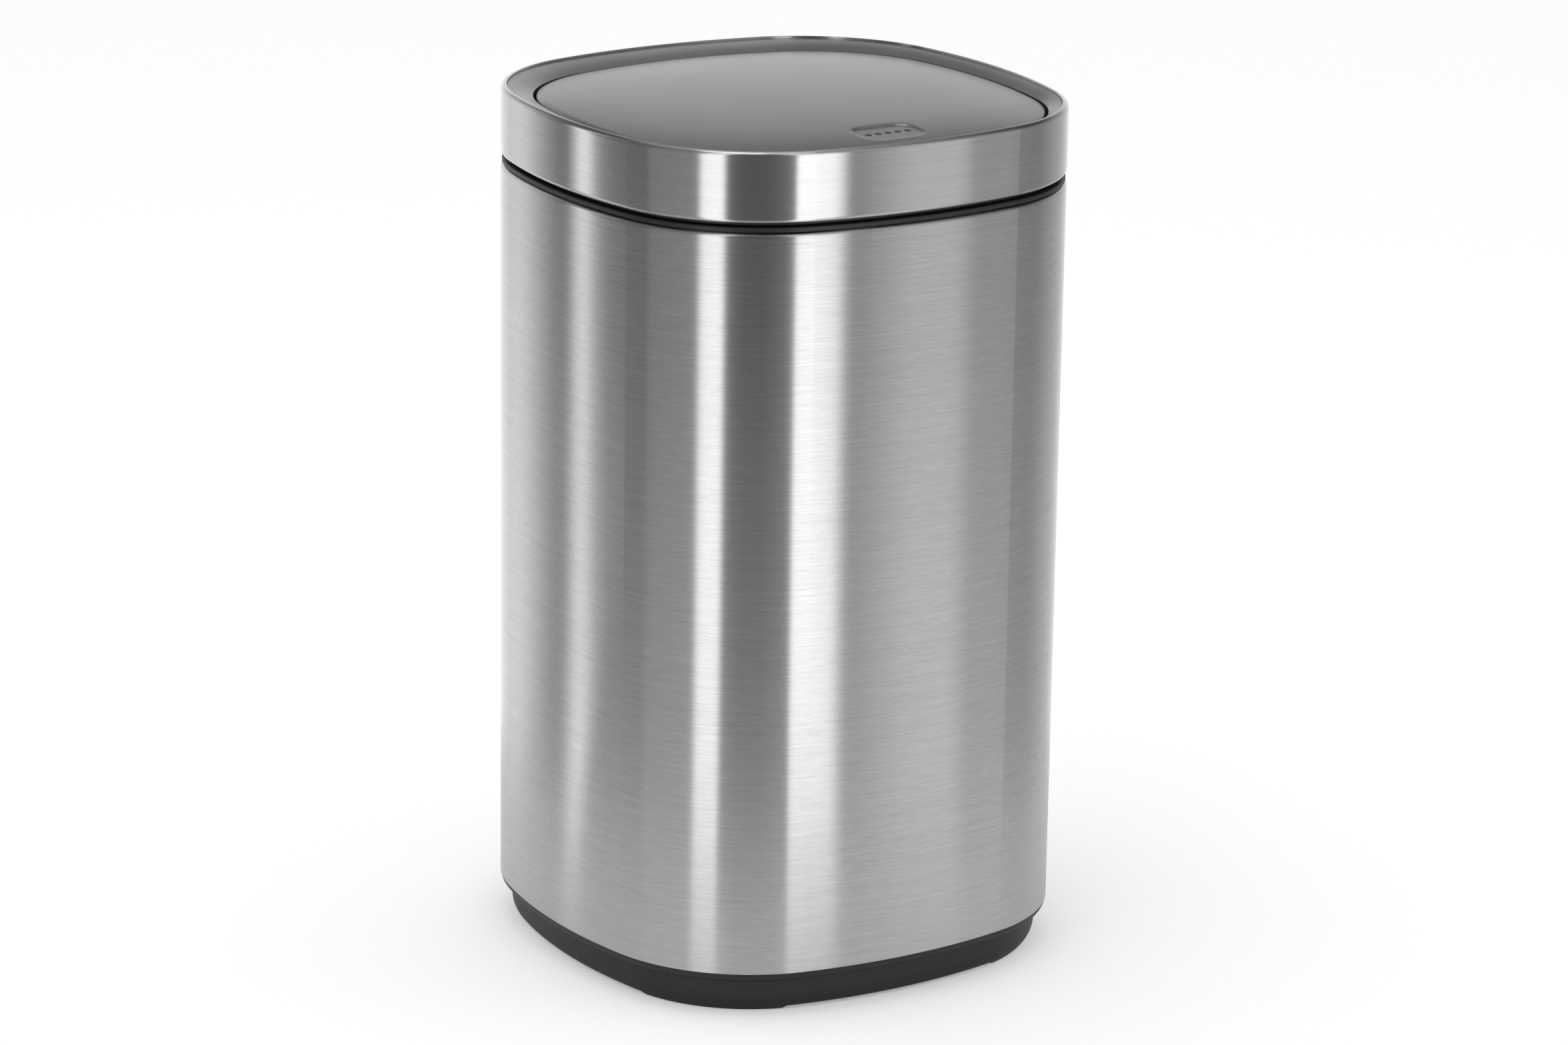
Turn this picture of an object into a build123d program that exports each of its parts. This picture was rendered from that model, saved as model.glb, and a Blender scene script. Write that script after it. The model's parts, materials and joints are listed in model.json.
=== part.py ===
"""A touch-top kitchen bin with a squared-off round plan, in millimetres.

+Z is up, the floor is Z = 0 and the origin is under the middle of the body.
The front, with the press pad, faces -Y.
"""
import os
from math import atan2, cos, degrees, hypot, radians, sin, sqrt

from build123d import *

os.makedirs("parts", exist_ok=True)

# Plan of the steel body: four bulged sides joined by four corner arcs
body_half = 167.5
side_radius = 365.5
corner_radius = 109.5

# Heights
body_foot = 29.2
body_height = 483.9
lid_gap = 6.2
band_height = 44.7

# Steel sheet of the body and the lid band
sheet = 0.8
roll_radius = 3.0
flange_width = 9.0
rim_width = 3.9
hem_depth = 5.0

# Fits
seat_gap = 0.3
running_gap = 0.05

# Black collar in the top of the body
collar_lip_inset = 0.8
collar_lip_height = 2.6
collar_lip_lift = 1.0
collar_lip_round = 0.8
collar_neck_inset = 4.0
collar_skirt_depth = 13.0
collar_wall = 2.0
collar_land_width = 12.4
hook_reach = 1.1
hook_length = 20.0
hook_height = 3.5

# Black plinth
plinth_lip_inset = 0.3
plinth_lip_height = 6.1
plinth_lip_round = 5.9
plinth_notch_inset = 9.0
plinth_notch_height = 1.0
plinth_inset = 7.8
plinth_round = 16.25
plinth_round_start = 13.0
plinth_wall = 3.7
plinth_deck = 3.0
foot_clearance = 0.4
arch_height = 2.3
arch_half_length = 78.5
rib_thickness = 2.5
rib_pitch = 50.0
rib_count = 5
rib_clearance = 4.0
rib_screw_gap = 1.0

# Rubber pads under the corner feet
pad_radius = 10.0
pad_height = 4.0
pad_pocket_depth = 2.0
pad_boss_wall = 2.0
pad_inset = 63.5

# Tray that clamps the sleeve to the plinth
tray_inset = 1.2
tray_plate = 2.5
tray_rim_height = 14.0
tray_rim_wall = 2.0
tray_rib_height = 7.5
base_screw_inset = 47.5
base_screw_spread = 70.0

# Lift-out bucket
bucket_wall = 2.2
bucket_foot_inset = 30.0
bucket_top_inset = 17.0
bucket_rim_inset = 14.5
bucket_rim_drop = 10.0
bucket_rim_wall = 2.0
bucket_below_body = 13.1
bucket_round = 16.0

# Wire handles that hang inside the bucket
wire_radius = 2.0
handle_half_width = 40.0
handle_reach = 26.0
handle_bend = 6.0
handle_pivot_drop = 18.0
handle_wall_gap = 2.4
eye_length = 8.0
eye_gap = 3.0
eye_height = 11.0

# Flap and the bevel round it
frame_side = 17.8
frame_front = 13.3
frame_rear = 29.1
flap_gap = 2.0
bevel_drop = 1.3
bevel_depth = 4.1
bevel_crown = 0.7
bevel_land = 0.6
frame_wall = 2.0
frame_plate = 2.4
side_screw_spread = 45.0
rear_screw_spread = 80.0
frame_screw_gap = 0.5

# Domed flap
dome_radius = 4900.0
dome_rise = 2.9
flap_edge_round = 2.0
flap_inner_round = 0.6
flap_wall = 2.3
flap_skirt_depth = 10.6

# Press pad
pad_mark_width = 44.0
pad_mark_length = 27.0
pad_mark_corner = 8.5
pad_mark_depth = 0.9
pad_mark_from_edge = 29.0
dimple_radius = 1.7
dimple_pitch = 7.0
dimple_count = 5
dimple_depth = 0.45

# Lid moulding under the bevel
lid_base_flange = 1.6
lid_base_plate = 3.9
lid_base_inset = 5.0
lid_skirt_height = 12.0
lid_skirt_wall = 2.0
mouth_ledge = 14.0
bumper_pocket = 0.9
latch_tab_half_width = 29.0
latch_tab_length = 43.0

# Hinge, behind the flap and under the wide rear of the bevel
hinge_behind_flap = 11.6
hinge_below_bevel = 5.4
rod_radius = 1.5
bush_radius = 2.6
post_inside = 41.0
post_width = 5.0
post_foot = 9.0
post_head = 3.5
arm_inside = 34.0
arm_width = 5.0
arm_thickness = 4.4
arm_drop = 17.0
arm_bend = 5.0
arm_hub = 3.6
arm_slot_gap = 1.0
arm_slot_depth = 7.0
spool_radius = 2.4
spool_length = 9.0
hinge_pocket_height = 4.0
hinge_pocket_width = 12.0
hinge_pocket_margin = 2.0
clip_thickness = 0.8
clip_radius = 3.2
clip_groove = 0.35
rod_end = 0.8

# Flap springs
spring_wire = 0.5
spring_pitch = 1.3
spring_turns = 4.5
spring_side_gap = 1.0
spring_push_drop = 11.0
spring_push_bend = 1.2
spring_push_length = 6.0

# Flap liner
liner_plate = 2.2
liner_lift = 1.4
liner_gap = 0.3
liner_boss = 4.0
liner_screw_inset = 28.0
liner_screw_spread = 62.0
liner_screw_grip = 7.0

# Touch latch
latch_y_from_edge = 26.2
latch_half_length = 14.0
latch_half_width = 12.0
latch_flange = 10.0
latch_flange_thickness = 3.0
latch_corner = 3.0
plunger_radius = 5.0
plunger_stem = 4.0
plunger_gap = 0.6
plunger_stroke = 4.5
plunger_shoulder = 7.0
plunger_proud = 4.2
plunger_well = 3.4
latch_cover = 2.8
magnet_radius = 2.6
magnet_height = 2.5
striker_radius = 7.0
striker_height = 1.5
latch_spring_wire = 0.45
latch_spring_radius = 2.6
latch_spring_turns = 5

# Screws
screw_radius = 1.5
screw_head_radius = 3.0
screw_head_height = 2.0
screw_grip = 9.0

# Places that follow from the sizes above
body_top = body_foot + body_height
band_foot = body_top + lid_gap
band_top = band_foot + band_height
collar_lip_foot = body_top + collar_lip_lift
collar_top = collar_lip_foot + collar_lip_height
collar_opening = collar_lip_inset + collar_land_width
collar_skirt_inset = flange_width + seat_gap
tray_foot = body_foot + sheet
tray_top = tray_foot + tray_plate
bucket_seat = tray_top + tray_rib_height
bucket_foot = bucket_seat + seat_gap
bucket_top = body_top - bucket_below_body
flap_half_x = body_half - frame_side
flap_half_y = body_half - (frame_front + frame_rear) / 2
flap_centre_y = (frame_front - frame_rear) / 2
flap_front = flap_centre_y - flap_half_y
flap_rear = flap_centre_y + flap_half_y
bevel_top = band_top - bevel_drop
bevel_foot = bevel_top - bevel_depth
bevel_inset = rim_width + seat_gap
dome_top = bevel_foot + dome_rise
flap_skirt_foot = bevel_foot - flap_skirt_depth
lid_base_foot = band_foot - lid_base_flange
lid_base_top = lid_base_foot + lid_base_plate
lid_skirt_inset = collar_opening + seat_gap
hinge_y = flap_rear + hinge_behind_flap
hinge_z = bevel_foot - hinge_below_bevel
liner_foot = flap_skirt_foot + liner_lift
liner_top = liner_foot + liner_plate
latch_y = flap_front + latch_y_from_edge


def squared_round(half_x, half_y, r_side, r_corner, centre_y=0.0):
    """Face of a squared-off round plan: four bulged sides and four tangent corner arcs."""
    side_x = half_x - r_side
    side_y = half_y - r_side
    span = hypot(side_x, side_y)
    rise = sqrt((r_side - r_corner) ** 2 - (span / 2) ** 2)
    corner_x = side_x / 2 - rise * side_y / span
    corner_y = side_y / 2 - rise * side_x / span
    turn_x = degrees(atan2(corner_y, corner_x - side_x))
    turn_y = degrees(atan2(corner_x, corner_y - side_y))
    corner_turn = 90 - turn_x - turn_y
    with BuildSketch() as plan:
        with BuildLine():
            CenterArc((side_x, centre_y), r_side, -turn_x, 2 * turn_x)
            CenterArc((corner_x, centre_y + corner_y), r_corner, turn_x, corner_turn)
            CenterArc((0, centre_y + side_y), r_side, 90 - turn_y, 2 * turn_y)
            CenterArc((-corner_x, centre_y + corner_y), r_corner, 90 + turn_y, corner_turn)
            CenterArc((-side_x, centre_y), r_side, 180 - turn_x, 2 * turn_x)
            CenterArc((-corner_x, centre_y - corner_y), r_corner, 180 + turn_x, corner_turn)
            CenterArc((0, centre_y - side_y), r_side, 270 - turn_y, 2 * turn_y)
            CenterArc((corner_x, centre_y - corner_y), r_corner, 270 + turn_y, corner_turn)
        make_face()
    return plan.sketch


def body_plan(inset=0.0):
    """Plan of the body, drawn in by inset."""
    return squared_round(body_half - inset, body_half - inset, side_radius - inset, corner_radius - inset)


def flap_plan(inset=0.0):
    """Plan of the flap, drawn in by inset."""
    return squared_round(
        flap_half_x - inset,
        flap_half_y - inset,
        side_radius - frame_side - inset,
        corner_radius - frame_side - inset,
        flap_centre_y,
    )


def bevel_plan(share):
    """Plan part of the way down the bevel, from its outer edge (0) to the flap's opening (1)."""
    outer_half = body_half - bevel_inset - bevel_land
    outer_draw = bevel_inset + bevel_land
    inner_draw = frame_side - flap_gap
    draw = outer_draw + share * (inner_draw - outer_draw)
    return squared_round(
        outer_half + share * (flap_half_x + flap_gap - outer_half),
        outer_half + share * (flap_half_y + flap_gap - outer_half),
        side_radius - draw,
        corner_radius - draw,
        share * flap_centre_y,
    )


def rounded_block(inset, low, high, top_round=0.0, foot_round=0.0):
    """Solid of the body's plan, with its upper or lower edge rounded."""
    with BuildPart() as block:
        with BuildSketch(Plane.XY.offset(low)):
            add(body_plan(inset))
        extrude(amount=high - low)
        if top_round:
            fillet(block.edges().group_by(Axis.Z)[-1], top_round)
        if foot_round:
            fillet(block.edges().group_by(Axis.Z)[0], foot_round)
    return block.part


def domed_block(inset, low, drop, edge_round):
    """Solid of the flap's plan under its dome, with the edge rounded down."""
    with BuildPart() as block:
        with BuildSketch(Plane.XY.offset(low)):
            add(flap_plan(inset))
        extrude(amount=dome_top + drop - low)
        with Locations((0, flap_centre_y, dome_top - dome_radius)):
            Sphere(dome_radius - drop, mode=Mode.INTERSECT)
        fillet(block.faces().sort_by(Axis.Z)[-1].edges(), edge_round)
    return block.part


def dome_height(x, y):
    """Height of the flap's dome over a point of its plan."""
    return dome_top - dome_radius + sqrt(dome_radius**2 - x**2 - (y - flap_centre_y) ** 2)


def side_edge(along, inset, half=body_half, radius=side_radius):
    """Distance of a bulged side from the middle of its plan, at a place along that side."""
    return half - radius + sqrt((radius - inset) ** 2 - along**2)


def mirrored(spots):
    """Each place in all four quarters of the plan."""
    return [(x * sx, y * sy) for x, y in spots for sx in (-1, 1) for sy in (-1, 1)]


def save(piece, name):
    """Label a finished piece and write it."""
    piece.part.label = name
    export_step(piece.part, f"parts/{name}.step")


# Steel body: a thin sleeve rolled over at the top, with a flange turned in at each end
shell_outside = rounded_block(0, body_foot, body_top, top_round=roll_radius)
shell_inside = rounded_block(sheet, body_foot + sheet, body_top - sheet, top_round=roll_radius - sheet)

with BuildPart() as body_shell:
    add(shell_outside)
    add(shell_inside, mode=Mode.SUBTRACT)
    with BuildSketch(Plane.XY.offset(body_foot)):
        add(body_plan(flange_width))
    extrude(amount=body_height, mode=Mode.SUBTRACT)
save(body_shell, "body_shell")

# Black collar: lip over the steel, skirt down through the flange and eight snap hooks under it
collar_lip = rounded_block(collar_lip_inset, collar_lip_foot, collar_top, top_round=collar_lip_round)

with BuildPart() as top_collar:
    add(collar_lip)
    with BuildSketch(Plane.XY.offset(body_top)):
        add(body_plan(collar_neck_inset))
    extrude(amount=collar_lip_lift)
    with BuildSketch(Plane.XY.offset(body_top - collar_skirt_depth)):
        add(body_plan(collar_skirt_inset))
    extrude(amount=collar_skirt_depth)
    with BuildSketch(Plane.XY.offset(body_top - sheet - seat_gap)):
        with PolarLocations(0, 4, start_angle=0, angular_range=360):
            Rectangle(3 * body_half, hook_length)
        with PolarLocations(0, 2, start_angle=45, angular_range=180):
            Rectangle(3 * body_half, hook_length)
        add(body_plan(flange_width - hook_reach), mode=Mode.INTERSECT)
    extrude(amount=-hook_height)
    with BuildSketch(Plane.XY.offset(body_top - collar_skirt_depth)):
        add(body_plan(collar_skirt_inset + collar_wall))
    extrude(amount=collar_skirt_depth + collar_lip_lift, mode=Mode.SUBTRACT)
    with BuildSketch(Plane.XY.offset(collar_lip_foot)):
        add(body_plan(collar_opening))
    extrude(amount=collar_lip_height, mode=Mode.SUBTRACT)
save(top_collar, "top_collar")

# Black plinth: rounded lip under the steel, bulged wall, four corner feet and ribs underneath
plinth_lip_foot = body_foot - seat_gap - plinth_lip_height
plinth_wall_top = plinth_lip_foot - plinth_notch_height
plinth_sole = plinth_round_start - plinth_round
plinth_cavity_inset = plinth_inset + plinth_round - sqrt(
    plinth_round**2 - (plinth_round_start - foot_clearance) ** 2
) + plinth_wall
deck_foot = body_foot - plinth_deck
arch_top = foot_clearance + arch_height
pad_spots = mirrored([(body_half - pad_inset, body_half - pad_inset)])
base_screw_side = body_half - base_screw_inset
base_screw_spots = mirrored([(base_screw_side, base_screw_spread), (base_screw_spread, base_screw_side)])
plinth_lip = rounded_block(
    plinth_lip_inset, plinth_lip_foot, body_foot - seat_gap, foot_round=plinth_lip_round
)
plinth_body = rounded_block(plinth_inset, plinth_sole, plinth_wall_top, foot_round=plinth_round)

with BuildPart() as base_plinth:
    add(plinth_body)
    add(plinth_lip)
    with BuildSketch(Plane.XY.offset(plinth_wall_top)):
        add(body_plan(plinth_notch_inset))
    extrude(amount=plinth_notch_height)
    with BuildSketch(Plane.XY.offset(body_foot - seat_gap)):
        add(body_plan(roll_radius))
    extrude(amount=seat_gap)
    with BuildSketch(Plane.XY.offset(plinth_sole)):
        add(body_plan(plinth_cavity_inset))
    extrude(amount=deck_foot - plinth_sole, mode=Mode.SUBTRACT)
    with BuildSketch(Plane.XY.offset(rib_clearance)):
        with GridLocations(rib_pitch, 0, rib_count, 1):
            Rectangle(rib_thickness, 2 * body_half)
        with GridLocations(0, rib_pitch, 1, rib_count):
            Rectangle(2 * body_half, rib_thickness)
        with Locations(*base_screw_spots):
            Circle(screw_head_radius + rib_screw_gap, mode=Mode.SUBTRACT)
        add(body_plan(plinth_cavity_inset - plinth_wall / 2), mode=Mode.INTERSECT)
    extrude(amount=deck_foot - rib_clearance)
    with BuildSketch(Plane.XY.offset(pad_height - pad_pocket_depth)):
        with Locations(*pad_spots):
            Circle(pad_radius + pad_boss_wall)
    extrude(amount=deck_foot - pad_height + pad_pocket_depth)
    with BuildSketch(Plane.XY.offset(pad_height - pad_pocket_depth)):
        with Locations(*pad_spots):
            Circle(pad_radius + running_gap)
    extrude(amount=pad_pocket_depth, mode=Mode.SUBTRACT)
    with BuildSketch(Plane.XY.offset(deck_foot)):
        with Locations(*base_screw_spots):
            Circle(screw_radius + running_gap)
    extrude(amount=plinth_deck, mode=Mode.SUBTRACT)
    split(bisect_by=Plane.XY.offset(foot_clearance), keep=Keep.TOP)
    for side_plane in (Plane.XZ, Plane.YZ):
        with BuildSketch(side_plane):
            with BuildLine():
                Polyline(
                    (-arch_half_length - arch_top, 0),
                    (-arch_half_length, arch_top),
                    (arch_half_length, arch_top),
                    (arch_half_length + arch_top, 0),
                    close=True,
                )
            make_face()
        extrude(amount=body_half, both=True, mode=Mode.SUBTRACT)
save(base_plinth, "base_plinth")

with BuildPart() as foot_pads:
    with BuildSketch():
        with Locations(*pad_spots):
            Circle(pad_radius)
    extrude(amount=pad_height)
    chamfer(foot_pads.edges().group_by(Axis.Z)[0], foot_clearance)
save(foot_pads, "foot_pads")

# Tray inside the sleeve: it clamps the steel flange to the plinth and carries the bucket
with BuildPart() as inner_floor:
    with BuildSketch(Plane.XY.offset(tray_foot)):
        add(body_plan(tray_inset))
    extrude(amount=tray_plate)
    with BuildSketch(Plane.XY.offset(tray_top)):
        add(body_plan(tray_inset))
        add(body_plan(tray_inset + tray_rim_wall), mode=Mode.SUBTRACT)
    extrude(amount=tray_rim_height)
    with BuildSketch(Plane.XY.offset(tray_top)):
        with GridLocations(rib_pitch, 0, rib_count, 1):
            Rectangle(rib_thickness, 2 * body_half)
        with GridLocations(0, rib_pitch, 1, rib_count):
            Rectangle(2 * body_half, rib_thickness)
        with Locations(*base_screw_spots):
            Circle(2 * screw_radius + running_gap)
        add(body_plan(tray_inset + tray_rim_wall / 2), mode=Mode.INTERSECT)
    extrude(amount=tray_rib_height)
    with BuildSketch(Plane.XY.offset(body_foot)):
        with Locations(*base_screw_spots):
            Circle(screw_radius + running_gap)
    extrude(amount=screw_grip, mode=Mode.SUBTRACT)
save(inner_floor, "inner_floor")

with BuildPart() as base_screws:
    with BuildSketch(Plane.XY.offset(deck_foot - screw_head_height)):
        with Locations(*base_screw_spots):
            Circle(screw_head_radius)
    extrude(amount=screw_head_height)
    with BuildSketch(Plane.XY.offset(deck_foot)):
        with Locations(*base_screw_spots):
            Circle(screw_radius)
    extrude(amount=plinth_deck + screw_grip - running_gap)
save(base_screws, "base_screws")

# Bucket: a tapered shell with a turned-down rim and eyes for the wire handles
handle_z = bucket_top - handle_pivot_drop
bucket_slope = (bucket_foot_inset - bucket_top_inset) / (bucket_top - bucket_foot)
eye_y = handle_half_width + eye_gap + eye_length / 2
inner_inset_at_eye = bucket_top_inset + bucket_wall + bucket_slope * handle_pivot_drop
wall_x_at_eye = side_edge(eye_y + eye_length / 2, inner_inset_at_eye)
handle_x = wall_x_at_eye - handle_wall_gap - wire_radius
eye_inside = handle_x - wire_radius - running_gap - bucket_wall
eye_outside = wall_x_at_eye + bucket_wall / 2

with BuildPart() as inner_bucket:
    with BuildSketch(Plane.XY.offset(bucket_foot)):
        add(body_plan(bucket_foot_inset))
    with BuildSketch(Plane.XY.offset(bucket_top)):
        add(body_plan(bucket_top_inset))
    loft(ruled=True)
    fillet(inner_bucket.edges().group_by(Axis.Z)[0], bucket_round)
    with BuildSketch(Plane.XY.offset(bucket_top - bucket_rim_drop)):
        add(body_plan(bucket_rim_inset))
    extrude(amount=bucket_rim_drop)
    with BuildSketch(Plane.XY.offset(bucket_top - bucket_rim_drop)):
        add(body_plan(bucket_rim_inset + bucket_rim_wall))
        add(body_plan(bucket_top_inset + bucket_slope * bucket_rim_drop), mode=Mode.SUBTRACT)
    extrude(amount=bucket_rim_drop - bucket_rim_wall, mode=Mode.SUBTRACT)

with BuildPart() as bucket_inside:
    with BuildSketch(Plane.XY.offset(bucket_foot + bucket_wall)):
        add(body_plan(bucket_foot_inset + bucket_wall))
    with BuildSketch(Plane.XY.offset(bucket_top)):
        add(body_plan(bucket_top_inset + bucket_wall))
    loft(ruled=True)
    fillet(bucket_inside.edges().group_by(Axis.Z)[0], bucket_round - bucket_wall)

with inner_bucket:
    add(bucket_inside.part, mode=Mode.SUBTRACT)
    for side in (-1, 1):
        for end in (-1, 1):
            with BuildSketch(Plane.XZ.offset(-end * eye_y)):
                with Locations((side * (eye_inside + eye_outside) / 2, handle_z)):
                    Rectangle(eye_outside - eye_inside, eye_height)
                with Locations((side * handle_x, handle_z)):
                    Circle(wire_radius + running_gap, mode=Mode.SUBTRACT)
            extrude(amount=eye_length / 2, both=True)
save(inner_bucket, "inner_bucket")

handle_end = handle_half_width + eye_gap + eye_length
for side, name in ((-1, "left_handle"), (1, "right_handle")):
    with BuildPart() as handle:
        with BuildLine(Plane.YZ.offset(side * handle_x)) as route:
            FilletPolyline(
                (-handle_end, handle_z),
                (-handle_half_width, handle_z),
                (-handle_half_width, handle_z - handle_reach),
                (handle_half_width, handle_z - handle_reach),
                (handle_half_width, handle_z),
                (handle_end, handle_z),
                radius=(eye_gap - running_gap, handle_bend, handle_bend, eye_gap - running_gap),
            )
        with BuildSketch(Plane(origin=route.line @ 0, z_dir=route.line % 0)):
            Circle(wire_radius)
        sweep()
    save(handle, name)

# Lid band: the same sheet, rolled at both edges, with a hem inside the rim
band_outside = rounded_block(0, band_foot, band_top, top_round=roll_radius, foot_round=roll_radius)
band_inside = rounded_block(
    sheet,
    band_foot + sheet,
    band_top - sheet,
    top_round=roll_radius - sheet,
    foot_round=roll_radius - sheet,
)

with BuildPart() as lid_band:
    add(band_outside)
    add(band_inside, mode=Mode.SUBTRACT)
    with BuildSketch(Plane.XY.offset(band_top - sheet)):
        add(body_plan(rim_width - sheet))
    extrude(amount=-hem_depth)
    with BuildSketch(Plane.XY.offset(band_top - sheet - hem_depth)):
        add(body_plan(rim_width))
    extrude(amount=sheet + hem_depth, mode=Mode.SUBTRACT)
    with BuildSketch(Plane.XY.offset(band_foot)):
        add(body_plan(flange_width))
    extrude(amount=sheet, mode=Mode.SUBTRACT)
save(lid_band, "lid_band")

# Bevel: a crowned top that steepens towards the flap, a wall inside the steel and a wall round the well
frame_foot = band_foot + sheet + seat_gap
frame_boss = 2 * screw_radius
plate_foot = bevel_foot - frame_plate
screw_from_flange = screw_head_radius + frame_screw_gap
side_screw_x = side_edge(side_screw_spread, flange_width) - screw_from_flange
rear_screw_y = side_edge(rear_screw_spread, flange_width) - screw_from_flange
frame_screw_spots = mirrored([(side_screw_x, side_screw_spread)])
frame_screw_spots += [(-rear_screw_spread, rear_screw_y), (rear_screw_spread, rear_screw_y)]
post_outside = post_inside + post_width
rod_half = post_outside + seat_gap + clip_thickness + rod_end
arm_centre = arm_inside + arm_width / 2
arm_slot_foot = hinge_z - arm_drop - arm_thickness / 2 - arm_slot_gap

with BuildPart() as bevel_tool:
    with BuildSketch(Plane.XY.offset(bevel_foot)):
        add(bevel_plan(1))
    with BuildSketch(Plane.XY.offset(bevel_foot + bevel_depth / 2 + bevel_crown)):
        add(bevel_plan(0.5))
    with BuildSketch(Plane.XY.offset(bevel_top)):
        add(bevel_plan(0))
    loft()

with BuildPart() as lid_frame:
    with BuildSketch(Plane.XY.offset(frame_foot)):
        add(body_plan(bevel_inset))
    extrude(amount=bevel_top - frame_foot)
    add(bevel_tool.part, mode=Mode.SUBTRACT)
    with BuildSketch(Plane.XY.offset(frame_foot)):
        add(body_plan(bevel_inset + frame_wall))
        add(flap_plan(-flap_gap - frame_wall), mode=Mode.SUBTRACT)
    extrude(amount=plate_foot - frame_foot, mode=Mode.SUBTRACT)
    with BuildSketch(Plane.XY.offset(lid_base_top)):
        with Locations(*frame_screw_spots):
            Circle(frame_boss)
        add(body_plan(bevel_inset + frame_wall / 2), mode=Mode.INTERSECT)
    extrude(amount=plate_foot - lid_base_top)
    with BuildSketch(Plane.XY.offset(frame_foot)):
        add(flap_plan(-flap_gap))
    extrude(amount=bevel_top - frame_foot, mode=Mode.SUBTRACT)
    with BuildSketch(Plane.XY.offset(frame_foot)):
        add(body_plan(flange_width))
    extrude(amount=lid_base_top - frame_foot, mode=Mode.SUBTRACT)
    with BuildSketch(Plane.XY.offset(lid_base_top)):
        with Locations(*frame_screw_spots):
            Circle(screw_radius + running_gap)
    extrude(amount=screw_grip + running_gap, mode=Mode.SUBTRACT)
    with BuildSketch(Plane.XY.offset(arm_slot_foot)):
        with Locations((-arm_centre, flap_rear + flap_gap), (arm_centre, flap_rear + flap_gap)):
            Rectangle(arm_width + 2 * arm_slot_gap, arm_slot_depth)
    extrude(amount=plate_foot - arm_slot_foot, mode=Mode.SUBTRACT)
    with BuildSketch(Plane.XY.offset(plate_foot)):
        with Locations((0, hinge_y)):
            Rectangle(2 * (rod_half + hinge_pocket_margin), hinge_pocket_width)
    extrude(amount=hinge_z + hinge_pocket_height - plate_foot, mode=Mode.SUBTRACT)
save(lid_frame, "lid_frame")

# Lid moulding: plate under the steel flange, locating skirt, mouth, latch shelf and hinge posts
latch_screw_spots = [(side * (latch_half_length + latch_flange / 2), latch_y) for side in (-1, 1)]
bumper_radius = (collar_opening - flange_width) / 2
bumper_ring = body_half - flange_width - bumper_radius

with BuildPart() as lid_base:
    with BuildSketch(Plane.XY.offset(lid_base_foot)):
        add(body_plan(lid_base_inset))
    extrude(amount=lid_base_flange)
    with BuildSketch(Plane.XY.offset(lid_base_foot)):
        add(body_plan(flange_width + seat_gap))
    extrude(amount=lid_base_plate)
    with BuildSketch(Plane.XY.offset(lid_base_foot)):
        add(body_plan(lid_skirt_inset))
        add(body_plan(lid_skirt_inset + lid_skirt_wall), mode=Mode.SUBTRACT)
    extrude(amount=-lid_skirt_height)
    with BuildSketch(Plane.XY.offset(lid_base_foot)):
        add(flap_plan(mouth_ledge))
        with Locations((0, flap_front)):
            Rectangle(
                2 * latch_tab_half_width,
                latch_tab_length,
                align=(Align.CENTER, Align.MIN),
                mode=Mode.SUBTRACT,
            )
    extrude(amount=lid_base_plate, mode=Mode.SUBTRACT)
    for side in (-1, 1):
        with BuildSketch(Plane.YZ.offset(side * (post_inside + post_width / 2))):
            with Locations((hinge_y, lid_base_top)):
                Rectangle(post_foot, lid_base_plate)
            with Locations((hinge_y, hinge_z)):
                Circle(post_head)
            make_hull()
            with Locations((hinge_y, hinge_z)):
                Circle(bush_radius + running_gap, mode=Mode.SUBTRACT)
        extrude(amount=post_width / 2, both=True)
    with BuildSketch(Plane.XY.offset(lid_base_foot)):
        with Locations(*frame_screw_spots, *latch_screw_spots):
            Circle(screw_radius + running_gap)
    extrude(amount=lid_base_plate, mode=Mode.SUBTRACT)
    with BuildSketch(Plane.XY.offset(lid_base_foot)):
        with Locations(*frame_screw_spots):
            Circle(screw_head_radius + running_gap)
    extrude(amount=screw_head_height + running_gap, mode=Mode.SUBTRACT)
    with BuildSketch(Plane.XY.offset(lid_base_foot)):
        with PolarLocations(bumper_ring, 4):
            Circle(bumper_radius)
    extrude(amount=bumper_pocket, mode=Mode.SUBTRACT)
save(lid_base, "lid_base")

with BuildPart() as lid_screws:
    with BuildSketch(Plane.XY.offset(lid_base_foot + running_gap)):
        with Locations(*frame_screw_spots):
            Circle(screw_head_radius)
    extrude(amount=screw_head_height)
    with BuildSketch(Plane.XY.offset(lid_base_foot + running_gap + screw_head_height)):
        with Locations(*frame_screw_spots):
            Circle(screw_radius)
    extrude(amount=lid_base_plate - screw_head_height + screw_grip - running_gap)
save(lid_screws, "lid_screws")

# Rubber pads that the lid stands on
with BuildPart() as lid_bumpers:
    with BuildSketch(Plane.XY.offset(collar_top + seat_gap)):
        with PolarLocations(bumper_ring, 4):
            Circle(bumper_radius)
    extrude(amount=lid_base_foot + bumper_pocket - collar_top - seat_gap)
save(lid_bumpers, "lid_bumpers")

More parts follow.
